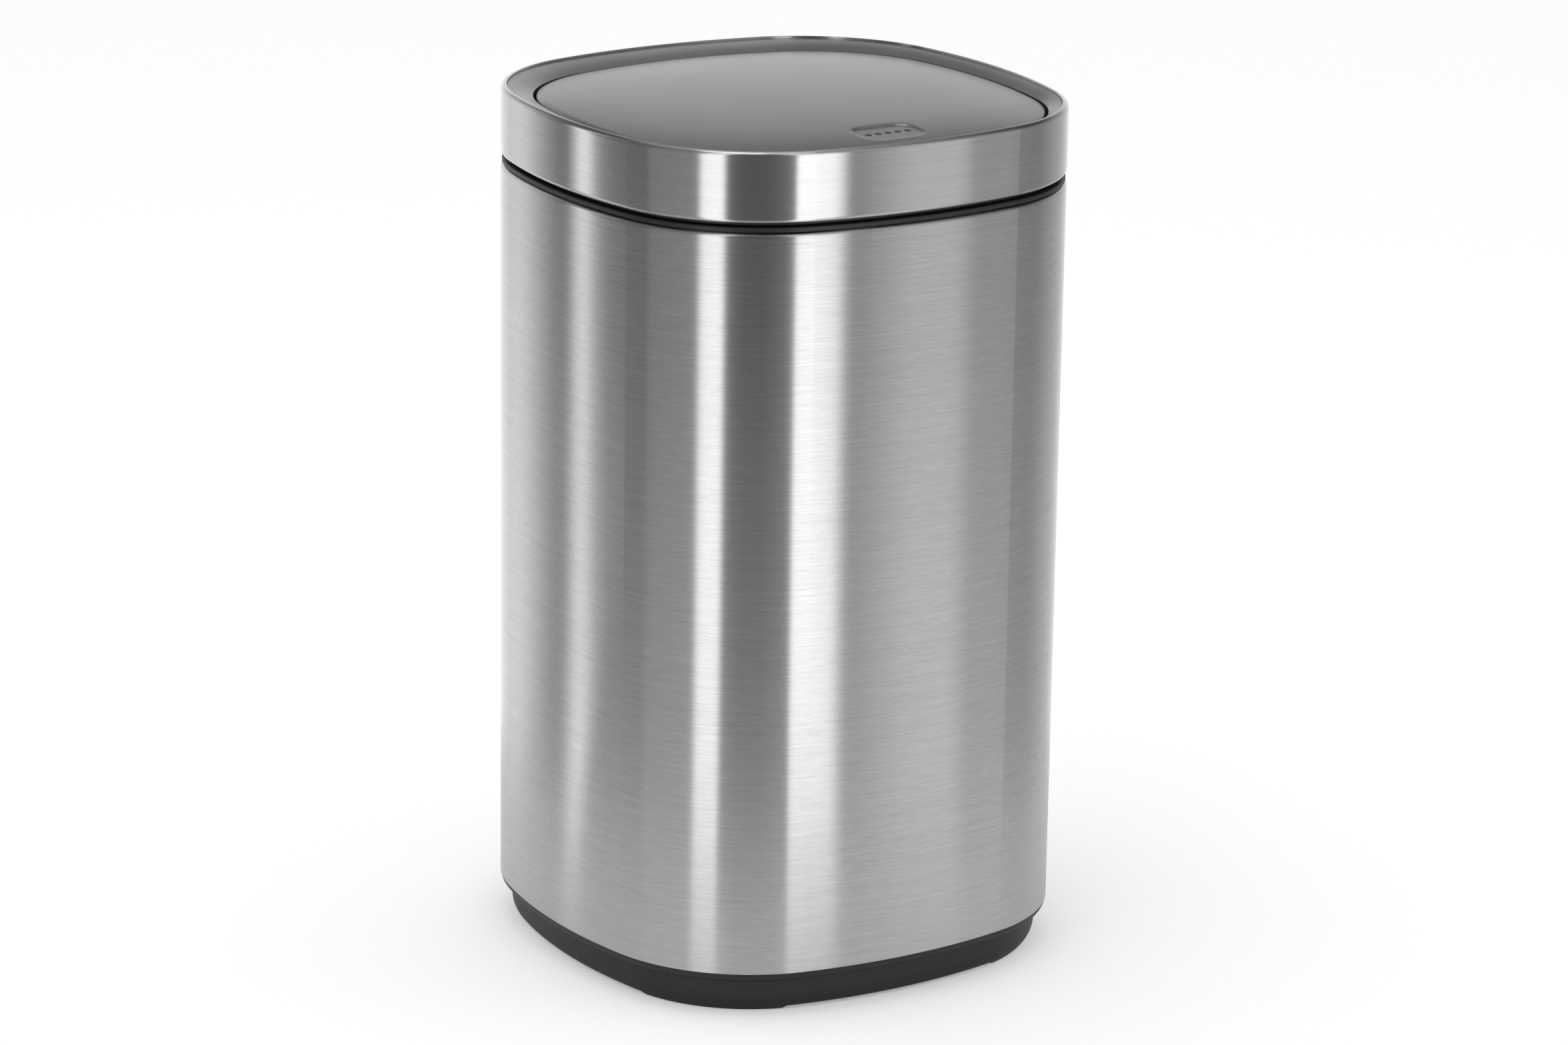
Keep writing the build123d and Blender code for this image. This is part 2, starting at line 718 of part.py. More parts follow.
# Flap: domed moulding with a rounded edge, a recessed press pad and screw bosses inside
liner_screw_x = flap_half_x - liner_screw_inset
liner_screw_spots = [(x, y + flap_centre_y) for x, y in mirrored([(liner_screw_x, liner_screw_spread)])]
liner_screw_spots += [(-liner_screw_spread, latch_y + liner_screw_inset / 2)]
liner_screw_spots += [(liner_screw_spread, latch_y + liner_screw_inset / 2)]
flap_outside = domed_block(0, flap_skirt_foot, 0, flap_edge_round)
flap_inside = domed_block(flap_wall, flap_skirt_foot, flap_wall, flap_inner_round)
pad_y = flap_front + pad_mark_from_edge
pad_tilt = degrees(atan2(flap_centre_y - pad_y, dome_radius))
pad_floor = Plane(
    origin=(0, pad_y, dome_height(0, pad_y) - pad_mark_depth),
    x_dir=(1, 0, 0),
    z_dir=(0, -sin(radians(pad_tilt)), cos(radians(pad_tilt))),
)

with BuildPart() as flap_panel:
    add(flap_outside)
    add(flap_inside, mode=Mode.SUBTRACT)
    with BuildSketch(Plane.XY.offset(liner_top)):
        with Locations(*liner_screw_spots):
            Circle(liner_boss)
            Circle(screw_radius + running_gap, mode=Mode.SUBTRACT)
    extrude(until=Until.NEXT)
    with BuildSketch(pad_floor):
        RectangleRounded(pad_mark_width, pad_mark_length, pad_mark_corner)
    extrude(amount=2 * pad_mark_depth, mode=Mode.SUBTRACT)
    with BuildSketch(pad_floor):
        with GridLocations(dimple_pitch, 0, dimple_count, 1):
            Circle(dimple_radius)
    extrude(amount=-dimple_depth, mode=Mode.SUBTRACT)
save(flap_panel, "flap_panel")

# Liner that closes the flap underneath, with the two hinge arms and the striker's boss
flap_side_radius = side_radius - frame_side
liner_rear = side_edge(arm_inside + arm_width, flap_wall + liner_gap, flap_half_y, flap_side_radius)
arm_y = flap_centre_y + liner_rear - arm_thickness / 2

with BuildPart() as flap_liner:
    with BuildSketch(Plane.XY.offset(liner_foot)):
        add(flap_plan(flap_wall + liner_gap))
    extrude(amount=liner_plate)
    with BuildSketch(Plane.XY.offset(liner_foot)):
        with Locations((0, latch_y)):
            Circle(striker_radius)
    extrude(amount=-liner_plate)
    for side in (-1, 1):
        with BuildSketch(Plane.YZ.offset(side * arm_centre)):
            with BuildLine():
                FilletPolyline(
                    (arm_y, liner_foot + liner_plate / 2),
                    (arm_y, hinge_z - arm_drop),
                    (hinge_y, hinge_z - arm_drop),
                    (hinge_y, hinge_z),
                    radius=arm_bend,
                )
            trace(line_width=arm_thickness)
            with Locations((hinge_y, hinge_z)):
                Circle(arm_hub)
        extrude(amount=arm_width / 2, both=True)
        with BuildSketch(Plane.YZ.offset(side * arm_inside)):
            with Locations((hinge_y, hinge_z)):
                Circle(spool_radius)
        extrude(amount=-side * spool_length)
    with BuildSketch(Plane.YZ):
        with Locations((hinge_y, hinge_z)):
            Circle(rod_radius + running_gap)
    extrude(amount=body_half, both=True, mode=Mode.SUBTRACT)
    with BuildSketch(Plane.XY.offset(liner_foot)):
        with Locations(*liner_screw_spots):
            Circle(screw_radius + running_gap)
    extrude(amount=liner_plate, mode=Mode.SUBTRACT)
save(flap_liner, "flap_liner")

with BuildPart() as liner_screws:
    with BuildSketch(Plane.XY.offset(liner_foot - screw_head_height)):
        with Locations(*liner_screw_spots):
            Circle(screw_head_radius)
    extrude(amount=screw_head_height)
    with BuildSketch(Plane.XY.offset(liner_foot)):
        with Locations(*liner_screw_spots):
            Circle(screw_radius)
    extrude(amount=liner_screw_grip)
save(liner_screws, "liner_screws")

# Hinge rod, its bushes in the posts and a clip at each end
with BuildPart() as hinge_rod:
    with BuildSketch(Plane.YZ):
        with Locations((hinge_y, hinge_z)):
            Circle(rod_radius)
    extrude(amount=rod_half, both=True)
    for side in (-1, 1):
        with BuildSketch(Plane.YZ.offset(side * (post_outside + seat_gap))):
            with Locations((hinge_y, hinge_z)):
                Circle(rod_radius)
                Circle(rod_radius - clip_groove, mode=Mode.SUBTRACT)
        extrude(amount=side * clip_thickness, mode=Mode.SUBTRACT)
save(hinge_rod, "hinge_rod")

with BuildPart() as rod_clips:
    for side in (-1, 1):
        with BuildSketch(Plane.YZ.offset(side * (post_outside + seat_gap + running_gap))):
            with Locations((hinge_y, hinge_z)):
                Circle(clip_radius)
                Circle(rod_radius - clip_groove + running_gap, mode=Mode.SUBTRACT)
                Rectangle(
                    2 * (rod_radius - clip_groove),
                    clip_radius,
                    align=(Align.CENTER, Align.MAX),
                    mode=Mode.SUBTRACT,
                )
        extrude(amount=side * (clip_thickness - 2 * running_gap))
save(rod_clips, "rod_clips")

with BuildPart() as hinge_bushes:
    for side in (-1, 1):
        with BuildSketch(Plane.YZ.offset(side * post_inside)):
            with Locations((hinge_y, hinge_z)):
                Circle(bush_radius)
                Circle(rod_radius + running_gap, mode=Mode.SUBTRACT)
        extrude(amount=side * post_width)
save(hinge_bushes, "hinge_bushes")

# Torsion springs on the arms' spools: one leg pushes the arm from behind, the other stands on the plate
coil_radius = spool_radius + seat_gap + spring_wire
coil_height = spring_pitch * spring_turns
coil_start = arm_inside - spring_side_gap - spring_wire - coil_height
coil_plane = Plane(origin=(coil_start, hinge_y, hinge_z), x_dir=(0, -1, 0), z_dir=(1, 0, 0))
coil = coil_plane * Helix(spring_pitch, coil_height, coil_radius, lefthand=True)
standing_foot = coil @ 0 - (coil % 0) * (hinge_z - lid_base_top - spring_wire)
push_corner = coil @ 1 + (coil % 1) * spring_push_drop
push_end = push_corner + Vector(spring_push_length, 0, 0)

with BuildPart() as right_spring:
    with BuildLine():
        Line(standing_foot, coil @ 0)
        add(coil)
        FilletPolyline(coil @ 1, push_corner, push_end, radius=spring_push_bend)
    with BuildSketch(Plane(origin=standing_foot, z_dir=coil % 0)):
        Circle(spring_wire)
    sweep()
save(right_spring, "right_spring")

with BuildPart() as left_spring:
    add(right_spring.part.mirror(Plane.YZ))
save(left_spring, "left_spring")

# Touch latch: housing on the shelf, sprung plunger with a magnet, striker under the flap
striker_foot = liner_foot - liner_plate - striker_height
plunger_top = striker_foot - seat_gap
housing_top = plunger_top - plunger_proud
shoulder_top = housing_top - latch_cover - seat_gap
plunger_foot = shoulder_top - plunger_shoulder
well_foot = plunger_foot - plunger_stroke

with BuildPart() as latch_housing:
    with BuildSketch(Plane.XY.offset(lid_base_top)):
        with Locations((0, latch_y)):
            RectangleRounded(2 * latch_half_length, 2 * latch_half_width, latch_corner)
    extrude(amount=housing_top - lid_base_top)
    with BuildSketch(Plane.XY.offset(lid_base_top)):
        with Locations((0, latch_y)):
            RectangleRounded(2 * (latch_half_length + latch_flange), latch_half_width, latch_corner)
        with Locations(*latch_screw_spots):
            Circle(screw_radius + running_gap, mode=Mode.SUBTRACT)
    extrude(amount=latch_flange_thickness)
    with BuildSketch(Plane.XY.offset(well_foot)):
        with Locations((0, latch_y)):
            Circle(plunger_radius + plunger_gap)
    extrude(amount=housing_top - latch_cover - well_foot, mode=Mode.SUBTRACT)
    with BuildSketch(Plane.XY.offset(well_foot)):
        with Locations((0, latch_y)):
            Circle(plunger_stem + plunger_gap)
    extrude(amount=housing_top - well_foot, mode=Mode.SUBTRACT)
save(latch_housing, "latch_housing")

with BuildPart() as latch_screws:
    with BuildSketch(Plane.XY.offset(lid_base_top + latch_flange_thickness)):
        with Locations(*latch_screw_spots):
            Circle(screw_head_radius)
    extrude(amount=screw_head_height)
    with BuildSketch(Plane.XY.offset(lid_base_top + latch_flange_thickness)):
        with Locations(*latch_screw_spots):
            Circle(screw_radius)
    extrude(amount=-latch_flange_thickness - lid_base_plate)
save(latch_screws, "latch_screws")

with BuildPart() as latch_plunger:
    with BuildSketch(Plane.XY.offset(plunger_foot)):
        with Locations((0, latch_y)):
            Circle(plunger_radius)
    extrude(amount=plunger_shoulder)
    with BuildSketch(Plane.XY.offset(shoulder_top)):
        with Locations((0, latch_y)):
            Circle(plunger_stem)
    extrude(amount=plunger_top - shoulder_top)
    with BuildSketch(Plane.XY.offset(plunger_foot)):
        with Locations((0, latch_y)):
            Circle(plunger_well)
    extrude(amount=plunger_shoulder, mode=Mode.SUBTRACT)
    with BuildSketch(Plane.XY.offset(plunger_top)):
        with Locations((0, latch_y)):
            Circle(magnet_radius + running_gap)
    extrude(amount=-magnet_height, mode=Mode.SUBTRACT)
save(latch_plunger, "latch_plunger")

with BuildPart() as latch_magnet:
    with BuildSketch(Plane.XY.offset(plunger_top)):
        with Locations((0, latch_y)):
            Circle(magnet_radius)
    extrude(amount=-magnet_height)
save(latch_magnet, "latch_magnet")

wound_foot = well_foot + latch_spring_wire + running_gap
wound_height = shoulder_top - latch_spring_wire - running_gap - wound_foot
wound_centre = (0, latch_y, wound_foot)

with BuildPart() as latch_spring:
    with BuildLine():
        wound = Helix(wound_height / latch_spring_turns, wound_height, latch_spring_radius, wound_centre)
    with BuildSketch(Plane(origin=wound @ 0, z_dir=wound % 0)):
        Circle(latch_spring_wire)
    sweep()
save(latch_spring, "latch_spring")

with BuildPart() as striker_plate:
    with BuildSketch(Plane.XY.offset(striker_foot)):
        with Locations((0, latch_y)):
            Circle(striker_radius)
    extrude(amount=striker_height)
save(striker_plate, "striker_plate")
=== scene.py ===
"""Looks of the touch-top kitchen bin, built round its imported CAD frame. Metres, +Z up, front towards -Y."""

import json
from math import atan2, cos, hypot, pi, radians, sin, sqrt

import bmesh
import bpy
from mathutils import Matrix, Vector


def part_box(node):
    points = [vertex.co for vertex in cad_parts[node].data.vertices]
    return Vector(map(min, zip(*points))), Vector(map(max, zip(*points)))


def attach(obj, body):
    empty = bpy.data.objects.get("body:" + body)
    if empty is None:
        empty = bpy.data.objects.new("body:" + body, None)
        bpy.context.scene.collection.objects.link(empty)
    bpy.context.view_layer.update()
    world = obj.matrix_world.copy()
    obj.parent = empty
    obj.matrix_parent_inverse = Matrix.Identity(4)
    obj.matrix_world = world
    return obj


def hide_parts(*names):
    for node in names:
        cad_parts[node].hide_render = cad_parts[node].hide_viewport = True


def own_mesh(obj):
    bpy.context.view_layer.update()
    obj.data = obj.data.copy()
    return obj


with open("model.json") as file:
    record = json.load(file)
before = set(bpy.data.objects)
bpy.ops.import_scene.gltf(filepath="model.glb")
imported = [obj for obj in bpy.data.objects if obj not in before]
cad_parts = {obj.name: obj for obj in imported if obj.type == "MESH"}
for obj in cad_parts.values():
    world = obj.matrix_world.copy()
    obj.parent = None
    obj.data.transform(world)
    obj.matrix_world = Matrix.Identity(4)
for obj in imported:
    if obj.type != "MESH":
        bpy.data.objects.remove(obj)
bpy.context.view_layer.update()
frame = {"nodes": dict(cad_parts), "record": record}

# Camera, from the fit of the outline
view_azimuth = radians(-31.896)
view_elevation = radians(16.542)
view_roll = radians(0.840)
view_distance = 3.6356
view_target = Vector((0, 0, 0.2711))
sensor_width = 36.0
lens = 127.41
shift_x = 0.00443
shift_y = 0.00448

# Light tent that only reflections see. Its fades and lift are (height, grey), a share of the light
# on its near and far side and a light added low down. Its greys are (heading, grey), in degrees
# from the front towards +X. Its far side is (heading, share of the far fade).
tent_radius = 0.47
tent_foot = 0.004
tent_height = 1.9
tent_sides = 96
tent_near_fade = [(0.6, 1.0), (0.8, 0.75), (1.3, 0.6)]
tent_far_fade = [
    (0.6, 1.0), (0.64, 0.84), (0.7, 0.58), (0.75, 0.38), (0.79, 0.2), (0.9, 0.1), (1.0, 0.15), (1.3, 0.5),
]
tent_lift = [(0.0, 0.15), (0.2, 0.12), (0.45, 0.0)]
tent_greys = [
    (-175, 1.1), (-154, 0.8), (-148, 0.92), (-138, 0.45), (-131, 0.2), (-126, 0.22), (-123, 1.35),
    (-120, 1.35), (-117, 0.28), (-110, 0.18), (-84, 0.27), (-62, 0.3), (-59, 1.45), (-49, 1.45),
    (-47.3, 0.1), (-28, 0.11), (-14, 0.2), (-13.5, 1.6), (1, 1.6), (2.5, 1.5), (3.5, 0.26), (14, 0.5),
    (20, 0.64), (32, 0.66), (34, 0.38), (38, 0.36), (44, 0.4), (47, 0.26), (64, 0.28), (92, 0.55),
    (114, 0.95), (150, 1.1),
]
tent_far_side = [(40, 0.0), (65, 1.0), (-130, 1.0), (-105, 0.0)]

# Floor and world
floor_half = 14.0
floor_glow = 0.3
sky_seen = 1.0
sky_light = 0.76
lamp_target = Vector((0, 0, 0.3))


def add_node(tree, kind, settings=None, **inputs):
    """New node with its settings and inputs; an input is a value or another node's output."""
    node = tree.nodes.new(kind)
    for name, value in (settings or {}).items():
        setattr(node, name, value)
    for name, value in inputs.items():
        socket = node.inputs[name.replace("_", " ")]
        if isinstance(value, bpy.types.NodeSocket):
            tree.links.new(value, socket)
        else:
            socket.default_value = value
    return node


def add_ramp(tree, fac, stops):
    """Colour ramp through (place, grey or colour) stops."""
    ramp = add_node(tree, "ShaderNodeValToRGB", Fac=fac)
    elements = ramp.color_ramp.elements
    while len(elements) < len(stops):
        elements.new(1.0)
    for element, (place, value) in zip(elements, stops):
        element.position = place
        colour = value if isinstance(value, tuple) else (value, value, value)
        element.color = (*colour, 1.0)
    return ramp.outputs["Color"]


def add_noise(tree, scale, detail=2.0, roughness=0.5):
    """Noise on object coordinates; scale is one number or three, in cells per metre."""
    place = add_node(tree, "ShaderNodeTexCoord").outputs["Object"]
    stretch = scale if isinstance(scale, tuple) else (scale, scale, scale)
    mapped = add_node(tree, "ShaderNodeMapping", Vector=place, Scale=stretch)
    noise = add_node(
        tree,
        "ShaderNodeTexNoise",
        Vector=mapped.outputs["Vector"],
        Scale=1.0,
        Detail=detail,
        Roughness=roughness,
    )
    return noise.outputs["Fac"]


def add_math(tree, operation, first, second):
    """Result of a sum on two inputs, each a value or another node's output."""
    node = add_node(tree, "ShaderNodeMath", {"operation": operation})
    for socket, value in zip(node.inputs, (first, second)):
        if isinstance(value, bpy.types.NodeSocket):
            tree.links.new(value, socket)
        else:
            socket.default_value = value
    return node.outputs[0]


def add_mix(tree, first, second, blend="MIX", factor=1.0):
    """Two colours blended; each input is a colour or another node's output."""
    node = add_node(
        tree, "ShaderNodeMix", {"data_type": "RGBA", "blend_type": blend}, Factor=factor, A=first, B=second
    )
    return node.outputs["Result"]


def add_object(name, data):
    """Mesh, lamp or camera data as an object of the scene."""
    thing = bpy.data.objects.new(name, data)
    bpy.context.scene.collection.objects.link(thing)
    return thing


def empty_material(name):
    """Material without nodes, as (material, tree)."""
    material = bpy.data.materials.new(name)
    material.use_nodes = True
    material.node_tree.nodes.clear()
    return material, material.node_tree


def add_output(tree, kind, surface):
    """Output node of a material or a world."""
    out = add_node(tree, kind)
    tree.links.new(surface, out.inputs["Surface"])


def new_material(name):
    """Material with a plain shader, as (material, tree, shader)."""
    material = bpy.data.materials.new(name)
    material.use_nodes = True
    tree = material.node_tree
    return material, tree, tree.nodes["Principled BSDF"]


def add_bump(tree, shader, height, strength, distance):
    """Bump from a height output."""
    bump = add_node(tree, "ShaderNodeBump", Strength=strength, Distance=distance, Height=height)
    tree.links.new(bump.outputs["Normal"], shader.inputs["Normal"])


def brushed_steel(name, dark, light, rough_low, rough_high, fineness=1.0, depth=0.12):
    """Sheet steel brushed round the bin: fine level streaks, with the gloss drawn out up and down."""
    material, tree, shader = new_material(name)
    shader.inputs["Metallic"].default_value = 1.0
    streaks = add_noise(tree, (40.0 * fineness, 40.0 * fineness, 1900.0 * fineness), 4.0, 0.65)
    threads = add_noise(tree, (110.0, 110.0, 3400.0), 2.0)
    bands = add_noise(tree, (9.0, 9.0, 560.0), 3.0, 0.6)
    clouds = add_noise(tree, (5.0, 5.0, 9.0), 3.0)
    grain = add_math(tree, "MULTIPLY", add_math(tree, "ADD", streaks, threads), 0.5)
    colour = add_ramp(tree, grain, [(0.36, dark), (0.64, light)])
    shade = add_ramp(tree, bands, [(0.3, 0.93), (0.7, 1.0)])
    tree.links.new(add_mix(tree, colour, shade, "MULTIPLY"), shader.inputs["Base Color"])
    rough = add_node(tree, "ShaderNodeMapRange", Value=clouds, To_Min=rough_low, To_Max=rough_high)
    tree.links.new(rough.outputs["Result"], shader.inputs["Roughness"])
    shader.inputs["Anisotropic"].default_value = 1.0
    shader.inputs["Anisotropic Rotation"].default_value = 0.25
    tangent = add_node(tree, "ShaderNodeTangent", {"direction_type": "RADIAL", "axis": "Z"})
    tree.links.new(tangent.outputs["Tangent"], shader.inputs["Tangent"])
    add_bump(tree, shader, grain, depth, 0.0001)
    return material


def moulded(name, colour, roughness, grain=1400.0, grain_strength=0.12, metallic=0.0, fleck=0.06, edge_highlight=0.25):
    """Moulded plastic: fine grain, faint clouding, and edges painted lighter in colour as a painted
    highlight.
    """
    material, tree, shader = new_material(name)
    shader.inputs["Metallic"].default_value = metallic
    grains = add_noise(tree, grain, 3.0, 0.6)
    clouds = add_noise(tree, 22.0, 3.0)
    low = tuple(c * (1 - fleck) for c in colour)
    high = tuple(c * (1 + fleck) for c in colour)
    base = add_ramp(tree, clouds, [(0.3, low), (0.7, high)])
    speck = add_ramp(tree, grains, [(0.3, 1 - fleck), (0.7, 1 + 0.5 * fleck)])
    mixed = add_mix(tree, base, speck, "MULTIPLY")
    # Painted highlight: edges, found where the bevel normal turns from the plain normal, are painted a
    # lighter colour
    edge = add_node(tree, "ShaderNodeBevel", {"samples": 4}, Radius=0.0008)
    plain = add_node(tree, "ShaderNodeNewGeometry")
    turn = add_node(tree, "ShaderNodeVectorMath", {"operation": "DISTANCE"})
    tree.links.new(edge.outputs["Normal"], turn.inputs[0])
    tree.links.new(plain.outputs["Normal"], turn.inputs[1])
    edge_highlight_mask = add_node(tree, "ShaderNodeMapRange", Value=turn.outputs["Value"], To_Min=0.0, To_Max=edge_highlight)
    highlight_colour = (*(min(1.0, c * 1.8 + 0.02) for c in colour), 1.0)
    with_edge_highlight = add_mix(tree, mixed, highlight_colour, factor=edge_highlight_mask.outputs["Result"])
    tree.links.new(with_edge_highlight, shader.inputs["Base Color"])
    rough = add_node(
        tree, "ShaderNodeMapRange", Value=grains, To_Min=roughness - 0.06, To_Max=roughness + 0.06
    )
    tree.links.new(rough.outputs["Result"], shader.inputs["Roughness"])
    add_bump(tree, shader, grains, grain_strength, 0.0001)
    return material


def plated(name, colour, roughness, drawn=(900.0, 900.0, 900.0)):
    """Plated or drawn metal with fine tool marks along the wire or rod."""
    material, tree, shader = new_material(name)
    shader.inputs["Metallic"].default_value = 1.0
    marks = add_noise(tree, drawn, 3.0)
    low = tuple(0.88 * c for c in colour)
    tree.links.new(add_ramp(tree, marks, [(0.3, low), (0.7, colour)]), shader.inputs["Base Color"])
    rough = add_node(
        tree, "ShaderNodeMapRange", Value=marks, To_Min=roughness - 0.05, To_Max=roughness + 0.08
    )
    tree.links.new(rough.outputs["Result"], shader.inputs["Roughness"])
    add_bump(tree, shader, marks, 0.1, 0.00005)
    return material


finishes = {
    "body_steel": brushed_steel("body_steel", (0.57, 0.565, 0.555), (0.7, 0.695, 0.685), 0.23, 0.28),
    "band_steel": brushed_steel(
        "band_steel", (0.62, 0.615, 0.605), (0.7, 0.695, 0.685), 0.19, 0.24, fineness=1.4, depth=0.05
    ),
    "collar_plastic": moulded("collar_plastic", (0.018, 0.018, 0.02), 0.42),
    "plinth_plastic": moulded("plinth_plastic", (0.013, 0.0142, 0.016), 0.42),
    "pad_rubber": moulded("pad_rubber", (0.02, 0.02, 0.02), 0.8, grain=900.0, grain_strength=0.3),
    "tray_plastic": moulded("tray_plastic", (0.05, 0.05, 0.055), 0.5),
    "screw_steel": plated("screw_steel", (0.62, 0.62, 0.6), 0.35),
    "bucket_plastic": moulded("bucket_plastic", (0.1, 0.105, 0.11), 0.5, grain=700.0),
    "handle_wire": plated("handle_wire", (0.66, 0.66, 0.67), 0.2, (1500.0, 60.0, 1500.0)),
    "frame_plastic": moulded(
        "frame_plastic", (0.37, 0.372, 0.372), 0.30, grain=2600.0, grain_strength=0.05, metallic=0.9
    ),
    "lid_plastic": moulded("lid_plastic", (0.025, 0.025, 0.027), 0.45),
    "flap_plastic": moulded(
        "flap_plastic",
        (0.37, 0.375, 0.38),
        0.30,
        grain=2600.0,
        grain_strength=0.05,
        metallic=0.92,
        fleck=0.03,
    ),
    "liner_plastic": moulded("liner_plastic", (0.11, 0.11, 0.115), 0.5),
    "rod_steel": plated("rod_steel", (0.6, 0.6, 0.61), 0.25, (60.0, 1500.0, 1500.0)),
    "bush_plastic": moulded("bush_plastic", (0.66, 0.64, 0.6), 0.45),
    "spring_steel": plated("spring_steel", (0.42, 0.42, 0.43), 0.28, (1300.0, 1300.0, 1300.0)),
    "latch_plastic": moulded("latch_plastic", (0.04, 0.04, 0.045), 0.42),
    "plunger_plastic": moulded("plunger_plastic", (0.42, 0.42, 0.42), 0.4),
    "magnet_metal": plated("magnet_metal", (0.5, 0.5, 0.52), 0.22),
    "striker_steel": plated("striker_steel", (0.52, 0.52, 0.5), 0.32),
}

slot_of = {part["node"]: part["material_slot"] for part in frame["record"]["subparts"]}
for name, piece in frame["nodes"].items():
    for index in range(len(piece.material_slots)):
        piece.material_slots[index].material = finishes[slot_of[name]]

# Latch spring as a piece of its own, because it shortens as the plunger goes down
spring = add_object("latch_spring_coil", frame["nodes"]["latch_spring"].data.copy())
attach(spring, "lid")
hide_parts("latch_spring")
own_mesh(spring)

# Skin of the flap: a fuller top than the plain dome under it, with the press pad sunk into it
flap_middle = Vector((0, -0.0079))
flap_half = Vector((0.1497, 0.1463))
flap_side_radius = 0.3477
flap_corner_radius = 0.0917
dome_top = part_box("flap_panel")[1][2]
dome_radius = 4.9
skin_inset = 0.0022
skin_lift = 0.0024
skin_fullness = 6
skin_below_dome = 0.0003
skin_sides = 360
pad_middle = Vector((0, -0.1238))
pad_half = Vector((0.0222, 0.0148))
pad_corner = 0.0105
pad_depth = 0.0009
pad_fall = 0.035
pad_floor_rings = (0.12, 0.3, 0.5, 0.7, 0.86)
flap_ring_count = 40
# Rounded edge of the pad, as (distance outside its outline, share of the way down)
pad_edge = [
    (0.0018, 0.0), (0.0013, 0.03), (0.0008, 0.1), (0.0003, 0.25), (0.0, 0.42), (-0.0001, 0.7),
    (-0.0003, 0.93), (-0.0007, 1.0),
]
mark_pitch = 0.0072
mark_radius = 0.0024
mark_height = 0.00012
mark_taper = 0.93


def flap_outline_gap(place):
    """Distance of a place outside the flap's outline, less than zero inside it."""
    x, y = abs(place.x - flap_middle.x), abs(place.y - flap_middle.y)
    side_x = flap_half.x - flap_side_radius
    side_y = flap_half.y - flap_side_radius
    span = hypot(side_x, side_y)
    rise = sqrt((flap_side_radius - flap_corner_radius) ** 2 - (span / 2) ** 2)
    corner_x = side_x / 2 - rise * side_y / span
    corner_y = side_y / 2 - rise * side_x / span
    if atan2(y, x - side_x) < atan2(corner_y, corner_x - side_x):
        return hypot(x - side_x, y) - flap_side_radius
    if atan2(x, y - side_y) < atan2(corner_x, corner_y - side_y):
        return hypot(x, y - side_y) - flap_side_radius
    return hypot(x - corner_x, y - corner_y) - flap_corner_radius


def pad_outline_gap(place):
    """Distance of a place outside the press pad's outline, less than zero inside it."""
    x = abs(place.x - pad_middle.x) - pad_half.x + pad_corner
    y = abs(place.y - pad_middle.y) - pad_half.y + pad_corner
    return hypot(max(x, 0), max(y, 0)) + min(max(x, y), 0) - pad_corner


def reach(start, way, outline_gap, gap):
    """How far a ray goes from a place until it is the gap outside an outline."""
    low, high = 0.0, 0.5
    for _ in range(30):
        middle = (low + high) / 2
        if outline_gap(start + middle * way) < gap:
            low = middle
        else:
            high = middle
    return low


def dome_height(place):
    """Height of the plain dome over a place."""
    return dome_top - (place - flap_middle).length_squared / (2 * dome_radius)


def skin_height(place):
    """Height of the fuller skin over a place, before the press pad is sunk into it."""
    outward = place - flap_middle
    if outward.length < 1e-6:
        return dome_top + skin_lift
    edge = reach(flap_middle, outward.normalized(), flap_outline_gap, -skin_inset)
    share = min(1.0, outward.length / edge)
    return dome_height(place) + skin_lift * (1 - share**skin_fullness)


def floor_height(place):
    """Height of the press pad's floor, which falls less steeply than the skin around it."""
    return skin_height(pad_middle) - pad_depth + pad_fall * (place.y - pad_middle.y)


def add_piece(name, mesh, finish):
    """Mesh as a smooth piece of the flap."""
    for face in mesh.polygons:
        face.use_smooth = True
    mesh.materials.append(finishes[finish])
    piece = add_object(name, mesh)
    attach(piece, "flap")


def ring_spots(start, distances):
    """Places round a start, one in each way, at these distances."""
    return [start + distance * way for way, distance in zip(ways, distances)]


def reaches(outline_gap, gap):
    """Distances from the pad's middle to an outline, one in each way."""
    return [reach(pad_middle, way, outline_gap, gap) for way in ways]


turns = [2 * pi * k / skin_sides for k in range(skin_sides)]
ways = [Vector((cos(turn), sin(turn))) for turn in turns]
rings = []
floor_edge = reaches(pad_outline_gap, pad_edge[-1][0])
for share in pad_floor_rings:
    spots = ring_spots(pad_middle, [share * distance for distance in floor_edge])
    rings.append([(spot, floor_height(spot)) for spot in spots])
for gap, sunk in reversed(pad_edge):
    spots = ring_spots(pad_middle, reaches(pad_outline_gap, gap))
    rings.append([(spot, (1 - sunk) * skin_height(spot) + sunk * floor_height(spot)) for spot in spots])
near = reaches(pad_outline_gap, pad_edge[0][0])
far = reaches(flap_outline_gap, -skin_inset)
# Out to the flap's edge, the rings lie closer together the nearer they are to it
for step in range(1, flap_ring_count + 1):
    done = step / flap_ring_count
    share = done**1.2 * (1.9 - 0.9 * done)
    spots = ring_spots(pad_middle, [n + share * (f - n) for n, f in zip(near, far)])
    rings.append([(spot, skin_height(spot)) for spot in spots])
for ring in list(reversed(rings)):
    rings.append([(spot, dome_height(spot) - skin_below_dome) for spot, height in ring])

skin_points = [(spot.x, spot.y, height) for ring in rings for spot, height in ring]
skin_points.append((*pad_middle, floor_height(pad_middle)))
skin_points.append((*pad_middle, dome_height(pad_middle) - skin_below_dome))
top_point = len(skin_points) - 2
last_ring = (len(rings) - 1) * skin_sides
skin_faces = []
for k in range(skin_sides):
    after = (k + 1) % skin_sides
    skin_faces.append((top_point, k, after))
    skin_faces.append((top_point + 1, last_ring + after, last_ring + k))
    for ring in range(0, last_ring, skin_sides):
        skin_faces.append((ring + k, ring + skin_sides + k, ring + skin_sides + after, ring + after))
skin_mesh = bpy.data.meshes.new("flap_skin")
skin_mesh.from_pydata(skin_points, [], skin_faces)
add_piece("flap_skin", skin_mesh, "flap_plastic")

